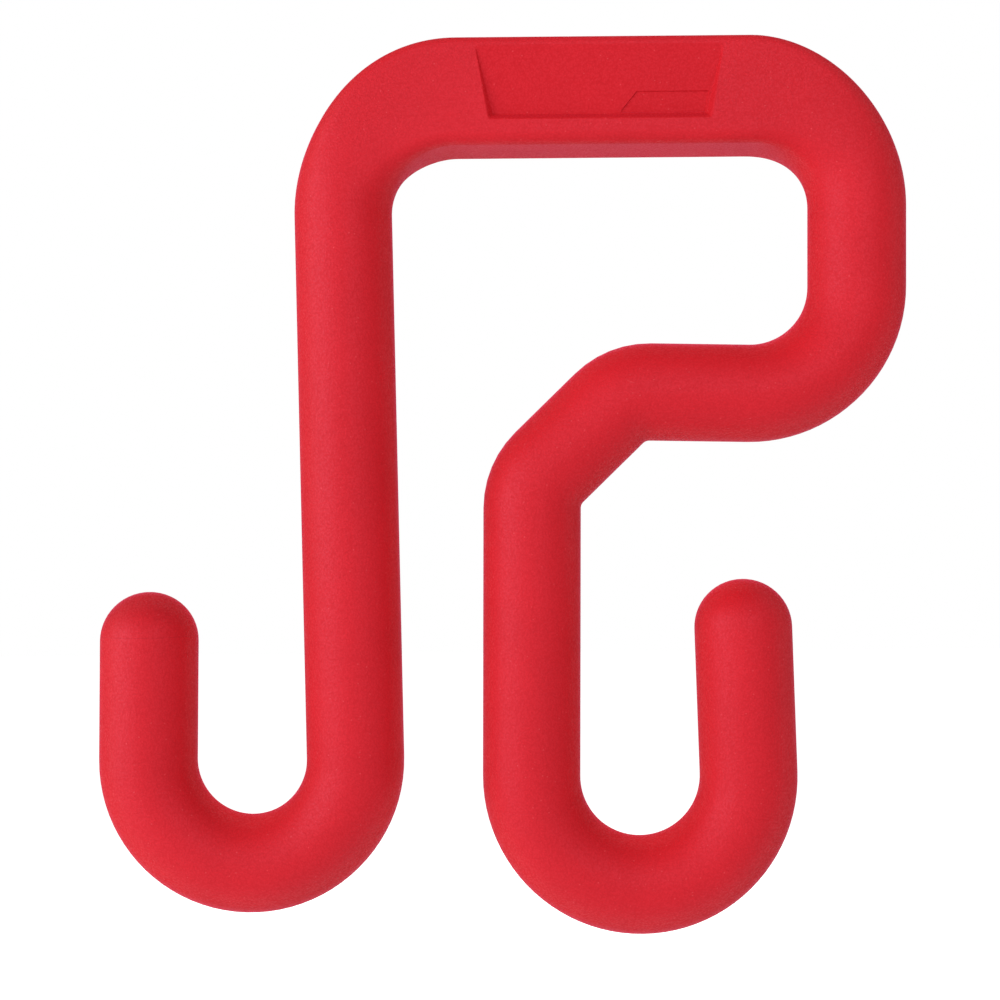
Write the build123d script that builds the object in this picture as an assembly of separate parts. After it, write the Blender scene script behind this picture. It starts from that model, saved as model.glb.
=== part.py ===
"""Bucket hook: one moulded rod bent into two hooks under a squared bar.

Millimetres and degrees. +Z is up, X runs along the bar, and the front is -Y.
The origin is the middle of the bar's flat underside, which sits on the bucket's lip.
"""
import os
from dataclasses import dataclass
from math import atan, cos, degrees, radians, sin, tan

from build123d import *

# The round rod and the squared bar
rod_diameter = 25.4
bar_height = 27.3
bar_top_edge_radius = 2.0
bar_bottom_edge_radius = 3.4

# The space for the bucket's lip, under the bar
lip_gap = 108.8
left_corner_inner_radius = 16.3
right_corner_inner_radius = 15.0
right_drop_length = 20.8

# How late in a corner the edges round off: 1 is evenly, more is later
left_outer_edge_delay = 1.3
left_inner_edge_delay = 1.4
right_outer_edge_delay = 0.85
right_inner_edge_delay = 0.95
corner_section_count = 9

# The left leg and its hook
left_leg_length = 141.2
left_hook_opening = 28.7
left_tip_length = 30.9

# The return under the lip, and the right leg with its hook
return_inner_radius = 15.2
arm_length = 25.7
offset_angle = 44.0
offset_inner_radius = 2.3
slant_length = 21.9
right_leg_length = 70.0
right_hook_opening = 31.3
right_tip_length = 37.8

# How far each member leans anticlockwise from square to the bar, seen from the front
left_leg_lean = 0.8
left_tip_lean = -0.9
right_drop_lean = -0.5
arm_lean = -1.3
right_leg_lean = -0.6
right_tip_lean = 1.6

# The name panel in the front of the bar, set in from the bar's flat ends and its edges
panel_left_margin = 5.0
panel_right_margin = 7.2
panel_top_margin = 2.7
panel_bottom_margin = 6.2
panel_end_slope = 10.2
panel_wall_draft = 33.0
panel_top_depth = 0.2
panel_bottom_depth = 2.2
panel_rim_radius = 0.35

# The small slanted plate sunk in the panel's lower right
plate_length = 22.0
plate_height = 5.4
plate_end_slope = 39.0
plate_edge_gap = 0.2
plate_depth = 0.4

# Derived sizes
rod_radius = rod_diameter / 2
half_height = bar_height / 2
shoulder = half_height - rod_radius
left_corner_radius = left_corner_inner_radius + half_height
right_corner_radius = right_corner_inner_radius + half_height
left_hook_radius = (left_hook_opening + rod_diameter) / 2
right_hook_radius = (right_hook_opening + rod_diameter) / 2
return_radius = return_inner_radius + rod_radius
offset_radius = offset_inner_radius + rod_radius
bar_length = lip_gap - left_corner_inner_radius - right_corner_inner_radius - 2 * shoulder
panel_top = bar_height - panel_top_margin
panel_height = panel_top - panel_bottom_margin
panel_left = -bar_length / 2 + panel_left_margin
panel_right = bar_length / 2 - panel_right_margin


@dataclass(frozen=True)
class Station:
    """A place on the rod's centre line, with the heading of travel there."""

    x: float
    z: float
    heading: float

    def left(self):
        """The unit direction to the left of travel, seen from the front."""
        return Vector(-sin(radians(self.heading)), 0, cos(radians(self.heading)))

    def plane(self):
        """The plane across the rod: its x runs front to back, its y to the left of travel."""
        ahead = (cos(radians(self.heading)), 0, sin(radians(self.heading)))
        return Plane(origin=(self.x, 0, self.z), x_dir=(0, 1, 0), z_dir=ahead)

    def ahead(self, length):
        """The station a straight length further on."""
        step = self.plane().z_dir * length
        return Station(self.x + step.X, self.z + step.Z, self.heading)

    def turn_centre(self, radius, turn):
        """The centre of a bend that starts here; a positive turn is anticlockwise."""
        side = 1 if turn > 0 else -1
        return Vector(self.x, 0, self.z) + self.left() * (radius * side)

    def turned(self, radius, turn):
        """The station at the far end of a bend."""
        side = 1 if turn > 0 else -1
        heading = self.heading + turn
        outward = Station(0, 0, heading).left() * (-radius * side)
        end = self.turn_centre(radius, turn) + outward
        return Station(end.X, end.Z, heading)


class Rod:
    """A round rod laid down run by run along its centre line."""

    def __init__(self, start):
        self.here = start
        self.runs = []

    def straight(self, length):
        """Lay a straight run."""
        self.runs.append(extrude(self.here.plane() * Circle(rod_radius), amount=length))
        self.here = self.here.ahead(length)

    def bend_to(self, heading, radius):
        """Lay an elbow that turns to the heading."""
        turn = heading - self.here.heading
        hinge = Axis(self.here.turn_centre(radius, turn), (0, -1 if turn > 0 else 1, 0))
        across = self.here.plane() * Circle(rod_radius)
        self.runs.append(revolve(across, axis=hinge, revolution_arc=abs(turn)))
        self.here = self.here.turned(radius, turn)

    def dome(self):
        """Close the rod with a half-round end."""
        self.runs.append(Pos(self.here.x, 0, self.here.z) * Sphere(rod_radius))


def blend(first, second, share):
    """The value a share of the way from the first to the second."""
    return first + (second - first) * share


def corner_section(station, outer, inner, outer_side):
    """The face across the rod in a corner, from squared (0) to round (1).

    The outline pulls towards eight corners of a polygon and touches each of its sides once.
    The polygon goes from the bar's rectangle, with the middles of its sides counted in, to the
    octagon round the rod. The outer and the inner edges go at their own pace.
    """
    middle = (outer + inner) / 2
    pull_paces = [outer, outer, middle, inner, inner, inner, middle, outer]
    touch_paces = [outer, outer, inner, inner, inner, inner, outer, outer]
    square = [(0, 1), (-1, 1), (-1, 0), (-1, -1), (0, -1), (1, -1), (1, 0), (1, 1)]
    step = 360 / len(square)
    octagon = rod_radius / cos(radians(step / 2))
    pulls = []
    weights = []
    for number, ((x, y), pace) in enumerate(zip(square, pull_paces)):
        angle = radians(90 + step * number)
        depth = blend(x * rod_radius, octagon * cos(angle), pace)
        side = blend(y * half_height, octagon * sin(angle), pace)
        pulls.append(Vector(depth, side * outer_side))
        weights.append(blend(cos(radians(step)) if x and y else 1, cos(radians(step / 2)), pace))
    top, bottom = bar_top_edge_radius, bar_bottom_edge_radius
    shares = [1 - top / rod_radius, top / half_height, 1 - bottom / half_height, bottom / rod_radius]
    shares += [1 - share for share in reversed(shares)]
    touches = []
    for pull, following, share, pace in zip(pulls, pulls[1:] + pulls[:1], shares, touch_paces):
        touches.append(blend(pull, following, blend(share, 1 / 2, pace)))
    edges = []
    for number, (pull, weight) in enumerate(zip(pulls, weights)):
        edges.append(Bezier(touches[number - 1], pull, touches[number], weights=[1, weight, 1]))
    return station.plane() * make_face(edges)


def ease(share):
    """A share that starts and ends gently."""
    return share * share * (3 - 2 * share)


def corner(start, radius, heading, outer_side, outer_delay, inner_delay):
    """A bend in which the squared bar becomes the round rod, and the station at its end."""
    turn = heading - start.heading
    sections = []
    for number in range(corner_section_count):
        share = number / (corner_section_count - 1)
        outer = ease(share**outer_delay)
        inner = ease(share**inner_delay)
        station = start.turned(radius, turn * share)
        sections.append(corner_section(station, outer, inner, outer_side))
    return loft(sections), start.turned(radius, turn)


def bar():
    """The squared bar between the two corners, its underside at height 0."""
    outline = Pos(0, half_height) * Rectangle(rod_diameter, bar_height)
    outline = fillet(outline.vertices().group_by(Axis.Y)[0], bar_bottom_edge_radius)
    outline = fillet(outline.vertices().group_by(Axis.Y)[-1], bar_top_edge_radius)
    left_end = Plane(origin=(-bar_length / 2, 0, 0), x_dir=(0, 1, 0), z_dir=(1, 0, 0))
    return extrude(left_end * outline, amount=bar_length)


def panel_floor():
    """The panel's sloping floor plane: x along the bar, y up the slope, from the panel's top."""
    tilt = atan((panel_bottom_depth - panel_top_depth) / panel_height)
    return Plane(
        origin=(0, -rod_radius + panel_top_depth, panel_top),
        x_dir=(1, 0, 0),
        z_dir=(0, -cos(tilt), -sin(tilt)),
    )


def panel_cutter():
    """The wedge taken out for the name panel, deepest along its lower edge."""
    lean = panel_height * tan(radians(panel_end_slope))
    rim = Polyline(
        (panel_left, panel_top),
        (panel_right, panel_top),
        (panel_right - lean, panel_bottom_margin),
        (panel_left + lean, panel_bottom_margin),
        close=True,
    )
    front = Plane(origin=(0, -rod_radius, 0), x_dir=(1, 0, 0), z_dir=(0, -1, 0))
    block = extrude(front * make_face(rim), amount=-2 * panel_bottom_depth, taper=panel_wall_draft)
    return split(block, bisect_by=panel_floor(), keep=Keep.TOP)


def plate_cutter():
    """The slanted plate sunk below the panel's floor, in its lower right."""
    wall = panel_bottom_depth * tan(radians(panel_wall_draft)) + plate_edge_gap
    lean = panel_height * tan(radians(panel_end_slope))
    low = wall - panel_height
    right = panel_right - lean - wall
    left = right - plate_length
    outline = Polyline(
        (left, low),
        (right, low),
        (right + plate_height * tan(radians(panel_end_slope)), low + plate_height),
        (left + plate_height * tan(radians(plate_end_slope)), low + plate_height),
        close=True,
    )
    return extrude(panel_floor() * make_face(outline), amount=-plate_depth)


def panelled_bar():
    """The bar with the name panel sunk in its front, the panel's rim softened."""
    sunk = bar() - panel_cutter()
    in_front = sunk.edges().group_by(Axis.Y)[0]
    reach = panel_rim_radius
    rim = in_front.filter_by_position(Axis.X, panel_left - reach, panel_right + reach)
    rim = rim.filter_by_position(Axis.Z, panel_bottom_margin - reach, panel_top + reach)
    return fillet(rim, panel_rim_radius) - plate_cutter()


def left_side():
    """The left corner, leg, hook and tip."""
    start = Station(-bar_length / 2, half_height, 180)
    delays = left_outer_edge_delay, left_inner_edge_delay
    turned, end = corner(start, left_corner_radius, 270 + left_leg_lean, -1, *delays)
    rod = Rod(end)
    rod.straight(left_leg_length)
    rod.bend_to(90 + left_tip_lean, left_hook_radius)
    rod.straight(left_tip_length)
    rod.dome()
    return [turned, *rod.runs]


def right_side():
    """The right corner, the return under the lip, and the right leg, hook and tip."""
    start = Station(bar_length / 2, half_height, 0)
    delays = right_outer_edge_delay, right_inner_edge_delay
    turned, end = corner(start, right_corner_radius, -90 + right_drop_lean, 1, *delays)
    rod = Rod(end)
    rod.straight(right_drop_length)
    rod.bend_to(-180 + arm_lean, return_radius)
    rod.straight(arm_length)
    rod.bend_to(-180 + offset_angle, offset_radius)
    rod.straight(slant_length)
    rod.bend_to(-90 + right_leg_lean, offset_radius)
    rod.straight(right_leg_length)
    rod.bend_to(90 + right_tip_lean, right_hook_radius)
    rod.straight(right_tip_length)
    rod.dome()
    return [turned, *rod.runs]


def hook_body():
    """The whole hook as one solid."""
    return panelled_bar().fuse(*left_side(), *right_side())


os.makedirs("parts", exist_ok=True)
export_step(hook_body(), "parts/hook_body.step")
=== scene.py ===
"""Looks of the bucket hook: its moulded body, red finish, studio and camera.

Sizes are in millimetres and angles in degrees; meshes go into the frame's metres at the end.
+Z is up, X runs along the bar, and the front of the hook is -Y.
"""
import logging
import math
from collections.abc import Callable
from dataclasses import dataclass, field, replace
from enum import Enum
from typing import TypeVar

import bmesh
import bpy
import numpy as np
from mathutils import Matrix, Vector


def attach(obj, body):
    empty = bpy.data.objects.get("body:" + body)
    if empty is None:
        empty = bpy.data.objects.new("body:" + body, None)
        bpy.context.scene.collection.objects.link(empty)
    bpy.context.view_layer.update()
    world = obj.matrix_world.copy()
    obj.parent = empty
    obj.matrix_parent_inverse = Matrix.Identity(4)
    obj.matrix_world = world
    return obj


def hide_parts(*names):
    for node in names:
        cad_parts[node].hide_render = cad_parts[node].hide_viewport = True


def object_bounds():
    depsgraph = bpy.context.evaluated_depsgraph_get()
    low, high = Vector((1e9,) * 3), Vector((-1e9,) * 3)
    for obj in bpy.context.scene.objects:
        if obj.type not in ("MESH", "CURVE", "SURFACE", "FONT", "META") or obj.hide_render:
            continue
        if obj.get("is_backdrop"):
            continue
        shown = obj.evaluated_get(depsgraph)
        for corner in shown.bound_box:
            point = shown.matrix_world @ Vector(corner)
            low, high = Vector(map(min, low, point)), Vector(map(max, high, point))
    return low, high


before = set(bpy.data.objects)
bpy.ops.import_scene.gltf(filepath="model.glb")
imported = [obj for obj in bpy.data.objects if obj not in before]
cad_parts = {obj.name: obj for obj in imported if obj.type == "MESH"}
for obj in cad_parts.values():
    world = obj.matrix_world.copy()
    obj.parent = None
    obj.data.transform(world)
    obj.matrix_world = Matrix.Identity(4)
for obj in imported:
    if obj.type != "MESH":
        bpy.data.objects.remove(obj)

METRES = 0.001
WHITE = (1, 1, 1, 1)
BLACK = (0, 0, 0, 1)
LOG = logging.getLogger("bucket_hook")

Colour = tuple[float, float, float]
Point = tuple[float, float]
Feed = bpy.types.NodeSocket | float | tuple[float, ...]
Feeds = dict[str | int, Feed]
Ring = list[bmesh.types.BMVert]
Loop = list[bmesh.types.BMEdge]
Sockets = bpy.types.bpy_prop_collection
Depth = Callable[[float], float]
Blendable = TypeVar("Blendable", float, np.ndarray)


def blend(first: Blendable, second: Blendable, share: float) -> Blendable:
    """Return the value a share of the way from the first to the second."""
    return first + (second - first) * share


def ease(share: float) -> float:
    """Return a share that starts and ends gently."""
    return share * share * (3 - 2 * share)


@dataclass(frozen=True)
class Place:
    """A place on the hook's centre line, with the heading of travel there.

    The heading is anticlockwise from +X, seen from the front.
    """

    x: float
    z: float
    heading: float

    def left(self) -> np.ndarray:
        """Return the unit direction to the left of travel, as (x, z)."""
        angle = math.radians(self.heading)
        return np.array((-math.sin(angle), math.cos(angle)))

    def moved(self, length: float) -> "Place":
        """Return the place a straight length further on."""
        angle = math.radians(self.heading)
        return Place(self.x + length * math.cos(angle), self.z + length * math.sin(angle), self.heading)

    def turned(self, radius: float, turn: float) -> "Place":
        """Return the place at the far end of a bend.

        Args:
            radius: Radius of the bend at the centre line.
            turn: Angle turned through; positive is anticlockwise.

        Returns:
            The place where the bend ends.
        """
        facing = Place(0, 0, self.heading + turn)
        shift = math.copysign(radius, turn) * (self.left() - facing.left())
        return Place(self.x + shift[0], self.z + shift[1], facing.heading)

    def reversed(self) -> "Place":
        """Return the same place, travelled the other way."""
        return Place(self.x, self.z, self.heading + 180)


@dataclass(frozen=True)
class Slice:
    """A cut across the rod: where it is and how far its edges have rounded off.

    The outer and inner edges are 0 on the squared bar and 1 on the round rod. The girth is
    the share of the full section, and falls to nothing over a domed end.
    """

    place: Place
    outer: float = 1.0
    inner: float = 1.0
    girth: float = 1.0


class CentreLine:
    """Slices laid along the rod, from one end of the squared bar to a domed end.

    A corner changes its section as it turns, so its slices lie closer by corner_fineness.
    """

    corner_fineness: int = 2

    def __init__(self, start: Place, spacing: float) -> None:
        """Start at an end of the squared bar.

        Args:
            start: The place where the bar's straight part ends.
            spacing: Largest distance between two slices.
        """
        self.slices = [Slice(start, 0.0, 0.0)]
        self.spacing = spacing

    def here(self) -> Place:
        """Return the place reached so far."""
        return self.slices[-1].place

    def shares(self, length: float) -> np.ndarray:
        """Return even shares of a run, as many as the spacing asks for, without its start."""
        return np.linspace(0, 1, math.ceil(length / self.spacing) + 1)[1:]

    def straight(self, length: float) -> None:
        """Lay a straight run of the given length."""
        start = self.here()
        self.slices += [Slice(start.moved(length * share)) for share in self.shares(length)]

    def bend(self, heading: float, radius: float) -> None:
        """Lay a round elbow.

        Args:
            heading: The heading at the elbow's end.
            radius: Radius of the bend at the centre line.
        """
        start = self.here()
        turn = heading - start.heading
        arc = math.radians(abs(turn)) * radius
        self.slices += [Slice(start.turned(radius, turn * share)) for share in self.shares(arc)]

    def corner(self, heading: float, radius: float, outer_delay: float, inner_delay: float) -> None:
        """Lay a bend in which the squared bar becomes the round rod.

        Args:
            heading: The heading at the corner's end.
            radius: Radius of the bend at the centre line.
            outer_delay: How late the outer edges round off; 1 is evenly, more is later.
            inner_delay: The same for the inner edges.
        """
        start = self.here()
        turn = heading - start.heading
        arc = math.radians(abs(turn)) * radius
        for share in self.shares(arc * self.corner_fineness):
            place = start.turned(radius, turn * share)
            self.slices.append(Slice(place, ease(share**outer_delay), ease(share**inner_delay)))

    def dome(self, radius: float, steps: int) -> None:
        """Close the rod with a half-round end.

        Args:
            radius: Radius of the rod.
            steps: Number of slices from the end's foot to its pole.
        """
        start = self.here()
        for step in range(1, steps):
            angle = math.radians(90 * step / steps)
            self.slices.append(Slice(start.moved(radius * math.sin(angle)), girth=math.cos(angle)))
        self.slices.append(Slice(start.moved(radius), girth=0.0))


@dataclass(frozen=True)
class RodSection:
    """The outline across the hook, which goes from the squared bar to the round rod.

    The outline pulls towards eight corners of a polygon and touches each of its sides once.
    The polygon goes from the bar's rectangle, with the middles of its sides counted in, to
    the octagon round the rod. A fine mould seam runs along the middle of top and underside.
    """

    rod_diameter: float = 25.4
    bar_height: float = 27.3
    top_edge_radius: float = 2.0
    bottom_edge_radius: float = 3.4
    seam_width: float = 0.3
    seam_height: float = 0.04
    facets_per_arc: int = 12

    @property
    def rod_radius(self) -> float:
        """The round rod's radius."""
        return self.rod_diameter / 2

    @property
    def half_height(self) -> float:
        """Half of the squared bar's height."""
        return self.bar_height / 2

    def pulls(self, outer: float, inner: float) -> tuple[np.ndarray, list[float]]:
        """Work out the polygon that the outline pulls towards.

        Args:
            outer: How far the outer edges have rounded off, from 0 to 1.
            inner: The same for the inner edges.

        Returns:
            The polygon's corners as (depth, side), and each corner's weight.
        """
        middle = (outer + inner) / 2
        paces = (outer, outer, middle, inner, inner, inner, middle, outer)
        square = ((0, 1), (-1, 1), (-1, 0), (-1, -1), (0, -1), (1, -1), (1, 0), (1, 1))
        step = 2 * math.pi / len(square)
        octagon = self.rod_radius / math.cos(step / 2)
        corners = []
        weights = []
        for number, ((depth, side), pace) in enumerate(zip(square, paces)):
            angle = math.pi / 2 + step * number
            corners.append((
                blend(depth * self.rod_radius, octagon * math.cos(angle), pace),
                blend(side * self.half_height, octagon * math.sin(angle), pace),
            ))
            weights.append(blend(math.cos(step) if depth and side else 1, math.cos(step / 2), pace))
        return np.array(corners), weights

    def touches(self, corners: np.ndarray, outer: float, inner: float) -> np.ndarray:
        """Work out where the outline touches each side of the polygon.

        Args:
            corners: The polygon's corners as (depth, side).
            outer: How far the outer edges have rounded off, from 0 to 1.
            inner: The same for the inner edges.

        Returns:
            The touching points as (depth, side) rows.
        """
        top, bottom = self.top_edge_radius, self.bottom_edge_radius
        wide, high = self.rod_radius, self.half_height
        shares = [1 - top / wide, top / high, 1 - bottom / high, bottom / wide]
        shares += [1 - share for share in reversed(shares)]
        paces = (outer, outer, inner, inner, inner, inner, outer, outer)
        places = [blend(share, 0.5, pace) for share, pace in zip(shares, paces)]
        return np.array([
            blend(corner, following, place)
            for corner, following, place in zip(corners, np.roll(corners, -1, axis=0), places)
        ])

    @staticmethod
    def has_seam(number: int) -> bool:
        """Return whether an arc is the top or the bottom one of the eight, where the seam runs."""
        return number in (0, 4)

    def arc_steps(self, number: int) -> np.ndarray:
        """Work out the steps along one arc.

        Args:
            number: The arc's number, from the top round by the front.

        Returns:
            The steps from 0 to 1, with the seam's two edges where it has them.
        """
        steps = np.arange(self.facets_per_arc) / self.facets_per_arc
        if not self.has_seam(number):
            return steps
        reach = self.seam_width / 2 / (math.pi / 4 * self.rod_radius)
        return np.sort(np.append(steps, (0.5 - reach, 0.5 + reach)))

    def outline(self, outer: float, inner: float) -> np.ndarray:
        """Work out the points round one slice.

        Args:
            outer: How far the outer edges have rounded off, from 0 to 1.
            inner: The same for the inner edges.

        Returns:
            The points as (depth, side) rows, from the top round by the front.
        """
        corners, weights = self.pulls(outer, inner)
        touches = self.touches(corners, outer, inner)
        points = []
        for number, (corner, weight) in enumerate(zip(corners, weights)):
            for step in self.arc_steps(number):
                parts = np.array(((1 - step) ** 2, 2 * weight * step * (1 - step), step**2))
                ends = np.array((touches[number - 1], corner, touches[number]))
                point = parts @ ends / parts.sum()
                if self.has_seam(number) and step == 0.5:
                    point[1] += math.copysign(self.seam_height, point[1])
                points.append(point)
        return np.array(points)

    def front_faces(self) -> range:
        """Return the numbers of the faces on the bar's flat front."""
        first = len(self.arc_steps(0)) + len(self.arc_steps(1))
        return range(first, first + len(self.arc_steps(2)))


@dataclass(frozen=True)
class Recess:
    """A shallow recess with drafted walls and softened edges, seen from the front.

    Each softened edge takes up its share of the wall, and as much of the face beside it.
    """

    rim: tuple[Point, ...]
    floor: tuple[Point, ...]
    rim_corner_radius: float
    floor_corner_radius: float
    rim_soft: float = 0.24
    foot_soft: float = 0.08
    soft_steps: int = 5
    corner_steps: int = 5

    def profile(self) -> list[tuple[float, float]]:
        """Work out the softened wall from the rim to the floor.

        Returns:
            Pairs of the share of the way to the floor and the share of the depth there.
        """
        bend = np.linspace(-1, 1, self.soft_steps)
        rim = [(self.rim_soft * step, self.rim_soft * (1 + step) ** 2 / 4) for step in bend]
        foot = [(1 + self.foot_soft * step, 1 - self.foot_soft * (1 - step) ** 2 / 4) for step in bend]
        return rim + foot

    def rounded(self, corners: np.ndarray, radius: float) -> list[np.ndarray]:
        """Round the corners of a loop.

        Args:
            corners: The loop's corners as (x, z) rows, anticlockwise.
            radius: The rounding's radius.

        Returns:
            The loop's points as (x, z).
        """
        points = []
        for number, corner in enumerate(corners):
            back = corners[number - 1] - corner
            on = corners[(number + 1) % len(corners)] - corner
            back, on = back / np.linalg.norm(back), on / np.linalg.norm(on)
            half = math.acos(float(back @ on)) / 2
            centre = corner + (back + on) / np.linalg.norm(back + on) * radius / math.sin(half)
            first = corner + back * radius / math.tan(half) - centre
            turn = (math.pi - 2 * half) / (self.corner_steps - 1)
            for angle in turn * np.arange(self.corner_steps):
                aside = np.array((-first[1], first[0]))
                points.append(centre + first * math.cos(angle) + aside * math.sin(angle))
        return points

    def loops(self) -> list[tuple[float, list[np.ndarray]]]:
        """Work out the loops of points down the wall.

        Returns:
            Each loop as its share of the depth and its points.
        """
        rim, floor = np.array(self.rim), np.array(self.floor)
        made = []
        for place, depth in self.profile():
            radius = blend(self.rim_corner_radius, self.floor_corner_radius, place)
            made.append((depth, self.rounded(blend(rim, floor, place), radius)))
        return made


@dataclass(frozen=True)
class NamePanel:
    """The trapezoid panel sunk in the bar's front, left bare, with a small plate sunk in its floor."""

    left: float = -32.8
    right: float = 30.6
    top: float = 24.6
    bottom: float = 6.2
    end_slope: float = 10.2
    wall_draft: float = 33.0
    top_wall_draft: float = 76.0
    top_depth: float = 0.2
    bottom_depth: float = 2.2
    rim_corner_radius: float = 0.9
    floor_corner_radius: float = 0.4
    plate_length: float = 22.0
    plate_height: float = 5.4
    plate_end_slope: float = 39.0
    plate_edge_gap: float = 0.2
    plate_depth: float = 0.4
    plate_draft: float = 0.16
    plate_corner_radius: float = 0.3

    def floor_depth(self, height: float) -> float:
        """Return how deep the sloping floor lies at a height."""
        return blend(self.bottom_depth, self.top_depth, (height - self.bottom) / (self.top - self.bottom))

    def rim(self) -> np.ndarray:
        """Work out the rim.

        Returns:
            The rim's corners as (x, z), anticlockwise from the lower left.
        """
        lean = (self.top - self.bottom) * math.tan(math.radians(self.end_slope))
        return np.array((
            (self.left + lean, self.bottom),
            (self.right - lean, self.bottom),
            (self.right, self.top),
            (self.left, self.top),
        ))

    def floor(self) -> np.ndarray:
        """Work out where the drafted walls meet the sloping floor.

        Returns:
            The floor's corners as (x, z), anticlockwise from the lower left.
        """
        rim = self.rim()
        slope = (self.top_depth - self.bottom_depth) / (self.top - self.bottom)
        drafts = (self.wall_draft, self.wall_draft, self.top_wall_draft, self.wall_draft)
        sides = []
        for corner, following, draft in zip(rim, np.roll(rim, -1, axis=0), drafts):
            along = (following - corner) / np.linalg.norm(following - corner)
            inward = np.array((-along[1], along[0]))
            run = math.tan(math.radians(draft))
            sides.append((inward - (0, run * slope), run * self.floor_depth(0.0) + inward @ corner))
        corners = []
        for number, (here, reach) in enumerate(sides):
            before, before_reach = sides[number - 1]
            corners.append(np.linalg.solve(np.array((before, here)), np.array((before_reach, reach))))
        return np.array(corners)

    def panel_recess(self) -> Recess:
        """Make the panel a recess in the bar's front.

        Returns:
            The recess.
        """
        rim = tuple(map(tuple, self.rim()))
        floor = tuple(map(tuple, self.floor()))
        return Recess(rim, floor, self.rim_corner_radius, self.floor_corner_radius)

    def plate_recess(self) -> Recess:
        """Make the slanted plate a recess in the panel's floor, in its lower right.

        Returns:
            The recess.
        """
        corner = self.floor()[1]
        low = corner[1] + self.plate_edge_gap
        high = low + self.plate_height
        right = corner[0] - self.plate_edge_gap
        left = right - self.plate_length
        rim = np.array((
            (left, low),
            (right, low),
            (right + self.plate_height * math.tan(math.radians(self.end_slope)), high),
            (left + self.plate_height * math.tan(math.radians(self.plate_end_slope)), high),
        ))
        middle = rim.mean(axis=0)
        floor = rim - np.sign(rim - middle) * self.plate_draft
        radius = self.plate_corner_radius
        return Recess(tuple(map(tuple, rim)), tuple(map(tuple, floor)), radius, radius / 2)


class Finish(Enum):
    """The finishes on the hook, in the order of the body's material slots."""

    GRIP = 0
    PANEL = 1


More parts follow.
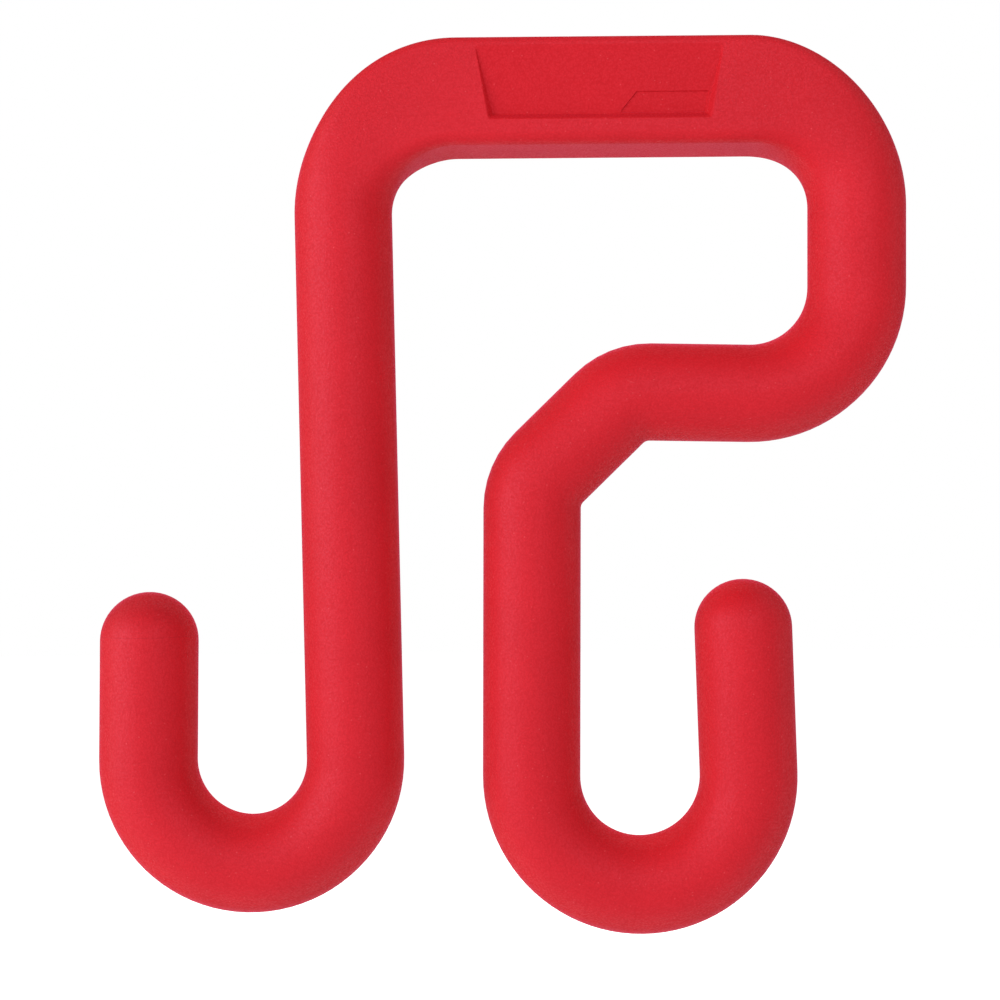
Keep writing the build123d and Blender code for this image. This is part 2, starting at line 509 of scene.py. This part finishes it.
@dataclass
class HookBody:
    """The hook, moulded in one piece: a squared bar whose ends bend down into two hooks."""

    section: RodSection = field(default_factory=RodSection)
    panel: NamePanel = field(default_factory=NamePanel)
    bar_length: float = 75.6
    left_corner_inner_radius: float = 16.3
    right_corner_inner_radius: float = 15.0
    left_edge_delays: tuple[float, float] = (1.3, 1.4)
    right_edge_delays: tuple[float, float] = (0.85, 0.95)
    left_leg_length: float = 141.2
    left_hook_opening: float = 28.7
    left_tip_length: float = 30.9
    right_drop_length: float = 20.8
    return_inner_radius: float = 15.2
    arm_length: float = 25.7
    offset_angle: float = 44.0
    offset_inner_radius: float = 2.3
    slant_length: float = 21.9
    right_leg_length: float = 70.0
    right_hook_opening: float = 31.3
    right_tip_length: float = 37.8
    left_leg_lean: float = 0.8
    left_tip_lean: float = -0.9
    right_drop_lean: float = -0.5
    arm_lean: float = -1.3
    right_leg_lean: float = -0.6
    right_tip_lean: float = 1.6
    slice_spacing: float = 2.0
    dome_steps: int = 14

    def left_slices(self) -> list[Slice]:
        """Lay the slices from the bar's left end to the left tip.

        Returns:
            The slices.
        """
        line = CentreLine(Place(-self.bar_length / 2, self.section.half_height, 180), self.slice_spacing)
        corner_radius = self.left_corner_inner_radius + self.section.half_height
        line.corner(270 + self.left_leg_lean, corner_radius, *self.left_edge_delays)
        line.straight(self.left_leg_length)
        line.bend(90 + self.left_tip_lean, (self.left_hook_opening + self.section.rod_diameter) / 2)
        line.straight(self.left_tip_length)
        line.dome(self.section.rod_radius, self.dome_steps)
        return line.slices

    def right_slices(self) -> list[Slice]:
        """Lay the slices from the bar's right end, by the return and the arm, to the right tip.

        Returns:
            The slices.
        """
        line = CentreLine(Place(self.bar_length / 2, self.section.half_height, 0), self.slice_spacing)
        rod_radius = self.section.rod_radius
        corner_radius = self.right_corner_inner_radius + self.section.half_height
        line.corner(-90 + self.right_drop_lean, corner_radius, *self.right_edge_delays)
        line.straight(self.right_drop_length)
        line.bend(-180 + self.arm_lean, self.return_inner_radius + rod_radius)
        line.straight(self.arm_length)
        line.bend(-180 + self.offset_angle, self.offset_inner_radius + rod_radius)
        line.straight(self.slant_length)
        line.bend(-90 + self.right_leg_lean, self.offset_inner_radius + rod_radius)
        line.straight(self.right_leg_length)
        line.bend(90 + self.right_tip_lean, (self.right_hook_opening + self.section.rod_diameter) / 2)
        line.straight(self.right_tip_length)
        line.dome(rod_radius, self.dome_steps)
        return line.slices

    def bar_slices(self) -> list[Slice]:
        """Lay the slices along the bar, between its two ends.

        Returns:
            The slices.
        """
        start = Place(-self.bar_length / 2, self.section.half_height, 0)
        count = math.ceil(self.bar_length / self.slice_spacing)
        places = [start.moved(self.bar_length * step / count) for step in range(1, count)]
        return [Slice(place, 0.0, 0.0) for place in places]

    def ring(self, mesh: bmesh.types.BMesh, cut: Slice) -> Ring:
        """Add the ring of points of one slice.

        Args:
            mesh: The mesh being built.
            cut: The slice.

        Returns:
            The ring's points, from the top round by the front; a pole is one point.
        """
        middle, left = np.array((cut.place.x, cut.place.z)), cut.place.left()
        outline = self.section.outline(cut.outer, cut.inner) if cut.girth else np.zeros((1, 2))
        made = []
        for depth, side in outline * cut.girth:
            x, z = middle + left * side
            made.append(mesh.verts.new(Vector((x, depth, z)) * METRES))
        return made

    @staticmethod
    def join(mesh: bmesh.types.BMesh, here: Ring, there: Ring, left_open: range = range(0)) -> None:
        """Join two rings, or a ring and a pole, with faces.

        Args:
            mesh: The mesh being built.
            here: The first ring.
            there: The next ring.
            left_open: The numbers of the faces to leave out.
        """
        count = max(len(here), len(there))
        for point in range(count):
            if point in left_open:
                continue
            following = (point + 1) % count
            corners = [ring[number % len(ring)] for ring, number in (
                (here, point), (here, following), (there, following), (there, point),
            )]
            mesh.faces.new(tuple(dict.fromkeys(corners)))

    def skin(self, mesh: bmesh.types.BMesh) -> None:
        """Cover the hook from tip to tip, leaving the bar's flat front open.

        Args:
            mesh: The mesh being built.
        """
        left = [replace(cut, place=cut.place.reversed()) for cut in reversed(self.left_slices())]
        bar, right = self.bar_slices(), self.right_slices()
        rings = [self.ring(mesh, cut) for cut in left + bar + right]
        bar_start, bar_end = len(left) - 1, len(left) + len(bar)
        for number, (here, there) in enumerate(zip(rings, rings[1:])):
            on_bar = bar_start <= number < bar_end
            self.join(mesh, here, there, self.section.front_faces() if on_bar else range(0))

    def sink(self, mesh: bmesh.types.BMesh, recess: Recess, face: Depth, deep: Depth) -> tuple[Loop, Loop]:
        """Add the walls of a recess in the front.

        Args:
            mesh: The mesh being built.
            recess: The recess.
            face: Gives the depth of the face round the recess, at a height.
            deep: Gives the depth from that face to the recess's floor, at a height.

        Returns:
            The edges round the rim and the edges round the floor.
        """
        front = -self.section.rod_radius
        rings = []
        for share, points in recess.loops():
            spots = [Vector((x, front + face(z) + share * deep(z), z)) for x, z in points]
            rings.append([mesh.verts.new(spot * METRES) for spot in spots])
        before = len(mesh.faces)
        for here, there in zip(rings, rings[1:]):
            self.join(mesh, here, there)
        mesh.faces.ensure_lookup_table()
        for wall in mesh.faces[before:]:
            wall.material_index = Finish.PANEL.value
        return self.loop_edges(mesh, rings[0]), self.loop_edges(mesh, rings[-1])

    @staticmethod
    def loop_edges(mesh: bmesh.types.BMesh, ring: Ring) -> Loop:
        """Return the edges round a ring of points."""
        return [mesh.edges.get(pair) for pair in zip(ring, ring[1:] + ring[:1])]

    def face_front(self, mesh: bmesh.types.BMesh) -> None:
        """Fill the bar's flat front, with the name panel and its plate sunk in it.

        Args:
            mesh: The mesh being built.
        """
        opening = [edge for edge in mesh.edges if edge.is_boundary]
        panel = self.panel
        rim, floor = self.sink(mesh, panel.panel_recess(), lambda z: 0.0, panel.floor_depth)
        plate = panel.plate_recess()
        plate_rim, plate_floor = self.sink(mesh, plate, panel.floor_depth, lambda z: panel.plate_depth)
        self.fill(mesh, opening + rim, Finish.GRIP)
        self.fill(mesh, floor + plate_rim, Finish.PANEL)
        self.fill(mesh, plate_floor, Finish.PANEL)

    @staticmethod
    def fill(mesh: bmesh.types.BMesh, edges: Loop, finish: Finish) -> None:
        """Fill the flat face between loops of edges.

        Args:
            mesh: The mesh being built.
            edges: The loops' edges.
            finish: The finish of the new faces.
        """
        made = bmesh.ops.triangle_fill(mesh, use_beauty=True, edges=edges, normal=Vector((0, -1, 0)))
        for face in made["geom"]:
            if isinstance(face, bmesh.types.BMFace):
                face.material_index = finish.value

    def build(self) -> bpy.types.Object:
        """Build the hook's mesh.

        Returns:
            The finished piece, riding on the hook's body in the frame.
        """
        mesh = bmesh.new()
        self.skin(mesh)
        self.face_front(mesh)
        bmesh.ops.recalc_face_normals(mesh, faces=mesh.faces)
        for face in mesh.faces:
            face.smooth = True
        data = bpy.data.meshes.new("hook")
        mesh.to_mesh(data)
        mesh.free()
        piece = bpy.data.objects.new("hook", data)
        bpy.context.scene.collection.objects.link(piece)
        normals = piece.modifiers.new("even_shading", "WEIGHTED_NORMAL")
        normals.keep_sharp = True
        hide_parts("hook_body")
        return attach(piece, "root")

    def dress(self, piece: bpy.types.Object, finishes: dict[Finish, bpy.types.Material]) -> None:
        """Give the piece its finishes, one slot each."""
        for finish in Finish:
            piece.data.materials.append(finishes[finish])


class Wiring:
    """The nodes of one shader tree, added and linked one by one."""

    def __init__(self, tree: bpy.types.NodeTree) -> None:
        """Work in the given tree."""
        self.tree = tree

    def add(self, kind: str, feeds: Feeds | None = None, **settings: object) -> bpy.types.Node:
        """Add a node.

        Args:
            kind: The node's type.
            feeds: What goes into its inputs, each a link from another node or a plain value.
            settings: The node's own settings.

        Returns:
            The new node.
        """
        node = self.tree.nodes.new(kind)
        for name, value in settings.items():
            setattr(node, name, value)
        for name, feed in (feeds or {}).items():
            if isinstance(feed, bpy.types.NodeSocket):
                self.tree.links.new(feed, node.inputs[name])
            else:
                node.inputs[name].default_value = feed
        return node

    def calculate(self, operation: str, *feeds: Feed) -> bpy.types.NodeSocket:
        """Return the result of a sum on up to three values."""
        return self.add("ShaderNodeMath", dict(enumerate(feeds)), operation=operation).outputs[0]

    def fade(self, value: Feed, start: Feed, end: Feed) -> bpy.types.NodeSocket:
        """Return a share that goes gently from 0 to 1 as the value goes from start to end."""
        feeds = {"Value": value, "From Min": start, "From Max": end}
        return self.add("ShaderNodeMapRange", feeds, interpolation_type="SMOOTHSTEP").outputs["Result"]

    def tint(self, share: Feed, first: Feed, second: Feed) -> bpy.types.NodeSocket:
        """Return a colour that goes from the first to the second."""
        return self.add("ShaderNodeMix", {0: share, 6: first, 7: second}, data_type="RGBA").outputs[2]

    def on_front(self, spot: Sockets) -> bpy.types.NodeSocket:
        """Return 1 on the front half of the hook and 0 behind it."""
        return self.calculate("LESS_THAN", spot["Y"], 0.0)

    def seen(self) -> bpy.types.NodeSocket:
        """Work out whether the camera sees a thing, also by reflection or through glass.

        Returns:
            1 where it is seen, and 0 where it only lights other things.
        """
        rays = self.add("ShaderNodeLightPath").outputs
        reflected = self.calculate("MAXIMUM", rays["Is Glossy Ray"], rays["Is Transmission Ray"])
        return self.calculate("MAXIMUM", rays["Is Camera Ray"], reflected)


class SharedEffect:
    """A shader node group that more than one finish uses."""

    name: str
    inputs: dict[str, str]
    outputs: dict[str, str]

    def wire(self, wiring: Wiring, given: Sockets) -> dict[str, Feed]:
        """Lay the group's nodes.

        Args:
            wiring: The group's tree.
            given: The group's inputs, by name.

        Returns:
            What goes to each of the group's outputs.
        """
        raise NotImplementedError

    def tree(self) -> bpy.types.NodeTree:
        """Make the group's tree when it is first asked for.

        Returns:
            The tree.
        """
        if self.name in bpy.data.node_groups:
            return bpy.data.node_groups[self.name]
        made = bpy.data.node_groups.new(self.name, "ShaderNodeTree")
        for label, kind in self.inputs.items():
            made.interface.new_socket(label, in_out="INPUT", socket_type=kind)
        for label, kind in self.outputs.items():
            made.interface.new_socket(label, in_out="OUTPUT", socket_type=kind)
        wiring = Wiring(made)
        given = wiring.add("NodeGroupInput").outputs
        wiring.add("NodeGroupOutput", self.wire(wiring, given))
        return made


class MouldedGrain(SharedEffect):
    """The fine matte grain that the mould leaves: shallow bumps, duller in their hollows.

    Each bump falls away from its middle by bump_share, under a finer noise. The dullness rises
    from hollow_start to hollow_end on the way to the bump's edge.
    """

    name = "moulded_grain"
    inputs = {"Place": "NodeSocketVector", "Grain Size": "NodeSocketFloat"}
    outputs = {"Height": "NodeSocketFloat", "Dullness": "NodeSocketFloat"}
    noise_layers: float = 3.0
    noise_sharpness: float = 0.6
    bump_softness: float = 0.5
    bump_share: float = 0.6
    hollow_start: float = 0.15
    hollow_end: float = 0.75

    def wire(self, wiring: Wiring, given: Sockets) -> dict[str, Feed]:
        """Lay small rounded bumps over a finer noise.

        Args:
            wiring: The group's tree.
            given: The group's inputs, by name.

        Returns:
            The grain's height, and its dullness from 0 to 1.
        """
        where = {"Vector": given["Place"], "Scale": wiring.calculate("DIVIDE", 1.0, given["Grain Size"])}
        noise = {**where, "Detail": self.noise_layers, "Roughness": self.noise_sharpness}
        fine = wiring.add("ShaderNodeTexNoise", noise).outputs["Fac"]
        bumps = {**where, "Smoothness": self.bump_softness}
        hollow = wiring.add("ShaderNodeTexVoronoi", bumps, feature="SMOOTH_F1").outputs["Distance"]
        height = wiring.calculate("SUBTRACT", fine, wiring.calculate("MULTIPLY", hollow, self.bump_share))
        return {"Height": height, "Dullness": wiring.fade(hollow, self.hollow_start, self.hollow_end)}


class LightSpecks(SharedEffect):
    """Sparse pale specks, as fine dust and nicks leave on matte plastic."""

    name = "light_specks"
    inputs = {
        "Place": "NodeSocketVector",
        "Spacing": "NodeSocketFloat",
        "Radius": "NodeSocketFloat",
        "Share": "NodeSocketFloat",
    }
    outputs = {"Mask": "NodeSocketFloat"}

    def wire(self, wiring: Wiring, given: Sockets) -> dict[str, Feed]:
        """Put a dot in some of the cells of a random pattern.

        Args:
            wiring: The group's tree.
            given: The group's inputs, by name.

        Returns:
            The mask, which is 1 in the middle of a speck.
        """
        pitch = wiring.calculate("DIVIDE", 1.0, given["Spacing"])
        cells = wiring.add("ShaderNodeTexVoronoi", {"Vector": given["Place"], "Scale": pitch})
        away = wiring.calculate("MULTIPLY", cells.outputs["Distance"], given["Spacing"])
        lot = wiring.add("ShaderNodeSeparateColor", {"Color": cells.outputs["Color"]}).outputs["Red"]
        chosen = wiring.calculate("LESS_THAN", lot, given["Share"])
        return {"Mask": wiring.calculate("MULTIPLY", wiring.fade(away, given["Radius"], 0.0), chosen)}


class FlowTone(SharedEffect):
    """Slow changes of tone, as the plastic flowed and cooled in the mould."""

    name = "flow_tone"
    inputs = {"Place": "NodeSocketVector", "Length": "NodeSocketFloat"}
    outputs = {"Tone": "NodeSocketFloat"}
    cloud_layers: float = 1.5
    cloud_swirl: float = 0.6
    cloud_start: float = 0.3
    cloud_end: float = 0.7

    def wire(self, wiring: Wiring, given: Sockets) -> dict[str, Feed]:
        """Lay soft clouds of the given length.

        Args:
            wiring: The group's tree.
            given: The group's inputs, by name.

        Returns:
            The tone, from 0 to 1.
        """
        feeds = {
            "Vector": given["Place"],
            "Scale": wiring.calculate("DIVIDE", 1.0, given["Length"]),
            "Detail": self.cloud_layers,
            "Distortion": self.cloud_swirl,
        }
        clouds = wiring.add("ShaderNodeTexNoise", feeds).outputs["Fac"]
        return {"Tone": wiring.fade(clouds, self.cloud_start, self.cloud_end)}


@dataclass(frozen=True)
class WitnessOval:
    """The fine oval line that a mould insert left in the front of the bar."""

    middle: Point = (40.8, 10.5)
    width: float = 14.6
    height: float = 10.2
    line_width: float = 0.35
    strength: float = 0.06

    def share(self, wiring: Wiring, spot: Sockets) -> bpy.types.NodeSocket:
        """Return how far the line darkens each place.

        Args:
            wiring: The finish's tree.
            spot: The place on the hook, as X, Y and Z.

        Returns:
            The share of darkness, from 0 to 1.
        """
        across = wiring.calculate("SUBTRACT", spot["X"], self.middle[0])
        across = wiring.calculate("DIVIDE", across, self.width / 2)
        up = wiring.calculate("SUBTRACT", spot["Z"], self.middle[1])
        up = wiring.calculate("DIVIDE", up, self.height / 2)
        squares = wiring.calculate("MULTIPLY_ADD", up, up, wiring.calculate("MULTIPLY", across, across))
        reach = wiring.calculate("SUBTRACT", wiring.calculate("SQRT", squares), 1.0)
        away = wiring.calculate("MULTIPLY", wiring.calculate("ABSOLUTE", reach), self.height / 2)
        line = wiring.calculate("MULTIPLY", wiring.fade(away, self.line_width / 2, 0.0), self.strength)
        return wiring.calculate("MULTIPLY", line, wiring.on_front(spot))


@dataclass(frozen=True)
class ShadedTipCap:
    """The left tip's end, with painted shade that darkens it towards its top and a fine painted line of
    crease shade round its foot, where the dome meets the rod.
    """

    foot: float = -125.5
    inner_side: float = -104.0
    line_width: float = 0.35
    line_strength: float = 0.13
    shade_height: float = 10.0
    shade_strength: float = 0.12

    def share(self, wiring: Wiring, spot: Sockets) -> bpy.types.NodeSocket:
        """Return how far the painted line of crease shade and the painted shade on the end beyond it darken
        each place.

        Args:
            wiring: The finish's tree.
            spot: The place on the hook, as X, Y and Z.

        Returns:
            The share of darkness, from 0 to 1.
        """
        # Painted shade: a fine dark line at the dome's foot, and the end darkening towards its top.
        above = wiring.calculate("SUBTRACT", spot["Z"], self.foot)
        line = wiring.fade(wiring.calculate("ABSOLUTE", above), self.line_width / 2, 0.0)
        line = wiring.calculate("MULTIPLY", line, self.line_strength)
        cap = wiring.calculate("MULTIPLY", wiring.fade(above, 0.0, self.shade_height), self.shade_strength)
        outside = wiring.calculate("LESS_THAN", spot["X"], self.inner_side)
        return wiring.calculate("MULTIPLY", wiring.calculate("MAXIMUM", line, cap), outside)


@dataclass(frozen=True)
class Hairline:
    """A faint wavy scratch on the front of the hook."""

    start: Point = (4.6, -60.4)
    end: Point = (7.6, -61.7)
    end_fade: float = 1.0
    wave_height: float = 0.25
    wave_length: float = 3.4
    line_width: float = 0.35
    strength: float = 0.25

    def share(self, wiring: Wiring, spot: Sockets) -> bpy.types.NodeSocket:
        """Return how far the scratch lightens each place.

        Args:
            wiring: The finish's tree.
            spot: The place on the hook, as X, Y and Z.

        Returns:
            The share of lightness, from 0 to 1.
        """
        slope = (self.end[1] - self.start[1]) / (self.end[0] - self.start[0])
        line = wiring.calculate("MULTIPLY_ADD", spot["X"], slope, self.start[1] - slope * self.start[0])
        turn = wiring.calculate("MULTIPLY", spot["X"], 2 * math.pi / self.wave_length)
        wave = wiring.calculate("MULTIPLY", wiring.calculate("SINE", turn), self.wave_height / 2)
        above = wiring.calculate("SUBTRACT", spot["Z"], wiring.calculate("ADD", line, wave))
        scratch = wiring.fade(wiring.calculate("ABSOLUTE", above), self.line_width / 2, 0.0)
        begun = wiring.fade(spot["X"], self.start[0], self.start[0] + self.end_fade)
        left = wiring.fade(spot["X"], self.end[0], self.end[0] - self.end_fade)
        scratch = wiring.calculate("MULTIPLY", scratch, wiring.calculate("MULTIPLY", begun, left))
        scratch = wiring.calculate("MULTIPLY", scratch, self.strength)
        return wiring.calculate("MULTIPLY", scratch, wiring.on_front(spot))


@dataclass(frozen=True)
class MouldedPlastic:
    """A solid red plastic with a fine grain, painted shade in the grain's hollows, specks, slow changes of
    tone and a few marks, of which some are painted shade.
    """

    name: str
    deep_red: Colour = (0.58, 0.0068, 0.0110)
    pale_red: Colour = (0.66, 0.0092, 0.0150)
    speck_red: Colour = (0.80, 0.09, 0.10)
    roughness: float = 0.44
    dullness: float = 0.16
    slant_blend: float = 0.5
    slant_dullness: float = 0.22
    slant_start: float = 0.25
    slant_end: float = 0.65
    specular: float = 0.32
    gloss_tint: Colour = (0.75, 0.70, 1.0)
    rim_sheen: float = 0.3
    rim_tint: Colour = (1.0, 0.15, 0.5)
    rim_roughness: float = 0.25
    grain_size: float = 0.55
    grain_depth: float = 0.095
    speck_spacing: float = 2.0
    speck_radius: float = 0.3
    speck_share: float = 0.6
    speck_strength: float = 0.45
    tone_length: float = 24.0
    hollow_shade: float = 0.6
    marks_and_painted_shade: tuple[WitnessOval | ShadedTipCap, ...] = ()
    scratches: tuple[Hairline, ...] = ()

    def colour(self, wiring: Wiring, place: Feed, hollow: Feed) -> bpy.types.NodeSocket:
        """Lay the nodes for the colour.

        Args:
            wiring: The finish's tree.
            place: The place on the hook, in millimetres.
            hollow: How far down in the grain's hollows the place lies, from 0 to 1.

        Returns:
            The colour, with its specks and marks, and with painted shade in the grain's hollows and on the
            left tip.
        """
        feeds = {"Place": place, "Length": self.tone_length}
        flow = wiring.add("ShaderNodeGroup", feeds, node_tree=FlowTone().tree()).outputs["Tone"]
        # Painted shade: the colour darkens in the grain's hollows, where shade falls.
        shade = wiring.calculate("MULTIPLY", hollow, self.hollow_shade)
        tone = wiring.calculate("MULTIPLY_ADD", flow, 1 - self.hollow_shade, shade)
        feeds = {
            "Place": place,
            "Spacing": self.speck_spacing,
            "Radius": self.speck_radius,
            "Share": self.speck_share,
        }
        specks = wiring.add("ShaderNodeGroup", feeds, node_tree=LightSpecks().tree())
        pale = wiring.calculate("MULTIPLY", specks.outputs["Mask"], self.speck_strength)
        red = wiring.tint(tone, (*self.pale_red, 1), (*self.deep_red, 1))
        spot = wiring.add("ShaderNodeSeparateXYZ", {"Vector": place}).outputs
        for mark in self.scratches:
            pale = wiring.calculate("MAXIMUM", pale, mark.share(wiring, spot))
        red = wiring.tint(pale, red, (*self.speck_red, 1))
        # The oval line is a mould mark; the left tip's darkening and the line round its foot are painted
        # shade.
        for mark in self.marks_and_painted_shade:
            red = wiring.tint(mark.share(wiring, spot), red, BLACK)
        return red

    def material(self) -> bpy.types.Material:
        """Make the finish a material.

        Returns:
            The material.
        """
        made = bpy.data.materials.new(self.name)
        made.use_nodes = True
        wiring = Wiring(made.node_tree)
        shader = made.node_tree.nodes["Principled BSDF"].inputs
        feeds = {0: wiring.add("ShaderNodeTexCoord").outputs["Object"], "Scale": 1 / METRES}
        place = wiring.add("ShaderNodeVectorMath", feeds, operation="SCALE").outputs[0]
        feeds = {"Place": place, "Grain Size": self.grain_size}
        grain = wiring.add("ShaderNodeGroup", feeds, node_tree=MouldedGrain().tree()).outputs
        feeds = {"Height": grain["Height"], "Distance": self.grain_depth * METRES, "Strength": 1.0}
        bump = wiring.add("ShaderNodeBump", feeds)
        slant = wiring.add("ShaderNodeLayerWeight", {"Blend": self.slant_blend}).outputs["Facing"]
        slant = wiring.fade(slant, self.slant_start, self.slant_end)
        rough = wiring.calculate("MULTIPLY_ADD", grain["Dullness"], self.dullness, self.roughness)
        rough = wiring.calculate("MULTIPLY_ADD", slant, self.slant_dullness, rough)
        made.node_tree.links.new(self.colour(wiring, place, grain["Dullness"]), shader["Base Color"])
        made.node_tree.links.new(rough, shader["Roughness"])
        made.node_tree.links.new(bump.outputs["Normal"], shader["Normal"])
        shader["Specular IOR Level"].default_value = self.specular
        shader["Specular Tint"].default_value = (*self.gloss_tint, 1)
        shader["Sheen Weight"].default_value = self.rim_sheen
        shader["Sheen Roughness"].default_value = self.rim_roughness
        shader["Sheen Tint"].default_value = (*self.rim_tint, 1)
        return made


@dataclass(frozen=True)
class SoftBox:
    """A rectangular studio lamp, aimed at the middle of the hook.

    A lamp that doesn't shine gives its light without a highlight, as if bounced off a wall.
    """

    name: str
    place: tuple[float, float, float]
    width: float
    height: float
    power: float
    shines: bool = True

    def hang(self, target: Vector) -> bpy.types.Object:
        """Hang the lamp, facing the target.

        Args:
            target: The place that the lamp lights, in metres.

        Returns:
            The lamp.
        """
        light = bpy.data.lights.new(self.name, "AREA")
        light.shape = "RECTANGLE"
        light.size = self.width * METRES
        light.size_y = self.height * METRES
        light.energy = self.power
        lamp = bpy.data.objects.new(self.name, light)
        bpy.context.scene.collection.objects.link(lamp)
        lamp.location = Vector(self.place) * METRES
        lamp.rotation_euler = (target - lamp.location).to_track_quat("-Z", "Y").to_euler()
        lamp.visible_camera = False
        lamp.visible_glossy = self.shines
        return lamp


@dataclass(frozen=True)
class Studio:
    """The white studio: a pale floor, soft boxes, bright surroundings and the camera."""

    floor_drop: float = 260.0
    floor_size: float = 8000.0
    floor_grey: float = 0.92
    near_glow: float = 0.5
    far_glow: float = 0.8
    glow_reach: tuple[float, float] = (350.0, 900.0)
    surroundings: float = 0.26
    camera_distance: float = 480.0
    view_width: float = 261.5
    view_middle: Point = (-27.43, -91.02)
    camera_roll: float = -0.5
    soft_boxes: tuple[SoftBox, ...] = (
        SoftBox("key_soft_box", (-1180, -780, 130), 1500, 900, 14.5),
        SoftBox("fill_soft_box", (150, -740, 120), 350, 350, 1.25),
        SoftBox("side_soft_box", (790, -690, 810), 700, 700, 2.6, shines=False),
        SoftBox("back_soft_box", (-30, 1150, 710), 700, 700, 14.0, shines=False),
    )

    def lay_floor(self, lowest: float) -> bpy.types.Object:
        """Lay the pale floor, which the camera sees as white where no shadow falls.

        Args:
            lowest: Height of the hook's lowest point, in metres.

        Returns:
            The floor.
        """
        bpy.ops.mesh.primitive_plane_add(size=self.floor_size * METRES)
        floor = bpy.context.object
        floor.name = "floor"
        floor.location.z = lowest - self.floor_drop * METRES
        made = bpy.data.materials.new("pale_floor")
        made.use_nodes = True
        wiring = Wiring(made.node_tree)
        shader = made.node_tree.nodes["Principled BSDF"].inputs
        shader["Base Color"].default_value = (self.floor_grey, self.floor_grey, self.floor_grey, 1)
        shader["Roughness"].default_value = 1.0
        shader["Specular IOR Level"].default_value = 0.0
        shader["Emission Color"].default_value = WHITE
        spot = wiring.add("ShaderNodeTexCoord").outputs["Object"]
        away = wiring.add("ShaderNodeVectorMath", {0: spot}, operation="LENGTH").outputs["Value"]
        far = wiring.fade(away, *(reach * METRES for reach in self.glow_reach))
        glow = wiring.calculate("MULTIPLY_ADD", far, self.far_glow - self.near_glow, self.near_glow)
        glow = wiring.calculate("MULTIPLY", wiring.seen(), glow)
        made.node_tree.links.new(glow, shader["Emission Strength"])
        floor.data.materials.append(made)
        floor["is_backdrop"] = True
        return floor

    def set_world(self) -> None:
        """Make the surroundings evenly bright, and white where they are seen."""
        world = bpy.data.worlds.new("white_studio")
        bpy.context.scene.world = world
        world.use_nodes = True
        wiring = Wiring(world.node_tree)
        background = world.node_tree.nodes["Background"].inputs
        background["Color"].default_value = WHITE
        more = wiring.calculate("MULTIPLY_ADD", wiring.seen(), 1 - self.surroundings, self.surroundings)
        world.node_tree.links.new(more, background["Strength"])

    def set_camera(self) -> bpy.types.Object:
        """Set the camera square to the front of the hook.

        Returns:
            The camera.
        """
        data = bpy.data.cameras.new("camera")
        data.lens = data.sensor_width * self.camera_distance / self.view_width
        camera = bpy.data.objects.new("camera", data)
        bpy.context.scene.collection.objects.link(camera)
        camera.location = Vector((self.view_middle[0], -self.camera_distance, self.view_middle[1])) * METRES
        upright = Matrix.Rotation(math.radians(90), 4, "X")
        roll = Matrix.Rotation(math.radians(self.camera_roll), 4, "Z")
        camera.rotation_euler = (upright @ roll).to_euler()
        bpy.context.scene.camera = camera
        return camera

    def set_up(self, low: Vector, high: Vector) -> None:
        """Light the studio and set the camera.

        Args:
            low: The hook's lowest corner.
            high: The hook's highest corner.
        """
        bpy.context.scene.view_settings.view_transform = "Standard"
        self.lay_floor(low.z)
        self.set_world()
        for box in self.soft_boxes:
            box.hang((low + high) / 2)
        self.set_camera()


def main() -> None:
    """Build the hook, dress it, and set up the studio."""
    logging.basicConfig(level=logging.INFO, format="%(name)s: %(message)s")
    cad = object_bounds()
    body = HookBody()
    piece = body.build()
    grip = MouldedPlastic("grip_red", marks_and_painted_shade=(WitnessOval(), ShadedTipCap()), scratches=(Hairline(),))
    panel = MouldedPlastic(
        "panel_red",
        deep_red=(0.567, 0.0066, 0.0107),
        pale_red=(0.645, 0.0089, 0.0145),
        roughness=0.58,
        specular=0.29,
        grain_depth=0.06,
    )
    body.dress(piece, {Finish.GRIP: grip.material(), Finish.PANEL: panel.material()})
    LOG.info("%s: %d faces", piece.name, len(piece.data.polygons))
    Studio().set_up(*cad)


if __name__ == "__main__":
    main()
